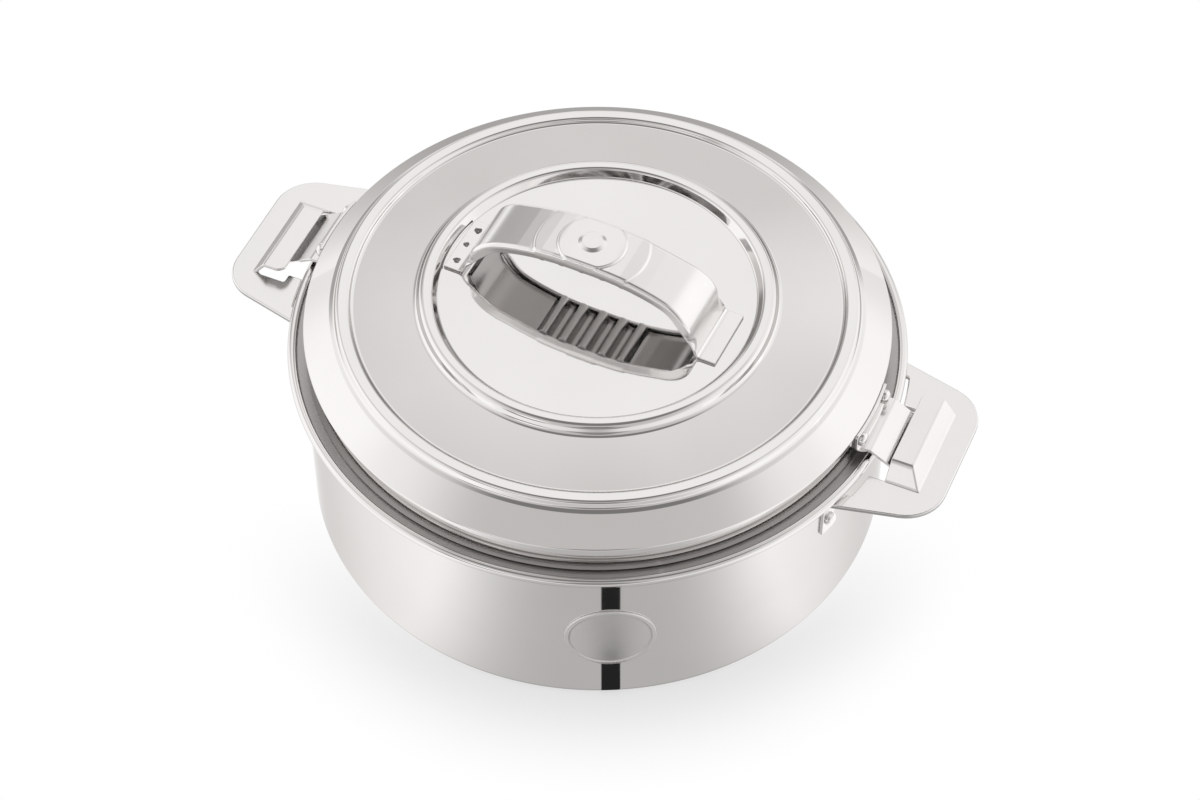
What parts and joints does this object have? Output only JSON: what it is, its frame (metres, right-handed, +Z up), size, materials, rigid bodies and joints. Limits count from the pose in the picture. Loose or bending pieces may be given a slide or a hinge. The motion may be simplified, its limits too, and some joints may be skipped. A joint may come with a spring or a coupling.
{
  "type": "insulated casserole",
  "caption": "Round double-walled steel casserole with foam insulation, riveted side handles and a recessed lid that turns to lock and then lifts off.",
  "frame": {"origin": "centre of the foot ring, in the plane the casserole stands on", "axes": "+Z up along the axis of the pot and lid, +X out through the right side handle, +Y away from the viewer"},
  "size_m": [0.286, 0.23, 0.125],
  "materials": {
    "polished_steel": "polished",
    "satin_steel": "satin",
    "foam": "matte",
    "silicone": "satin",
    "plug_plastic": "satin"
  },
  "bodies": {
    "pot": {"outer_shell": "polished_steel", "inner_bowl": "polished_steel", "base_plate": "polished_steel", "filling_plug": "plug_plastic", "body_insulation": "foam", "right_side_handle": "satin_steel", "left_side_handle": "satin_steel", "right_handle_rivets": "satin_steel", "left_handle_rivets": "satin_steel", "badge_plate": "satin_steel"},
    "seal": {"lid_seal": "silicone"},
    "lid": {"lid_cover": "polished_steel", "lid_liner": "polished_steel", "lid_insulation": "foam", "handle_strap": "satin_steel", "handle_grip": "satin_steel", "right_latch": "satin_steel", "left_latch": "satin_steel", "right_latch_rivets": "satin_steel", "left_latch_rivets": "satin_steel"}
  },
  "joints": [
    {"name": "lid_lift", "type": "slide", "parent": "pot", "child": "seal", "axis": [0, 0, 1], "range_m": [0, 0.12]},
    {"name": "lid_twist", "type": "hinge", "parent": "seal", "child": "lid", "pos_m": [0, 0, 0.0745], "axis": [0, 0, 1], "range_deg": [0, 25]}
  ]
}
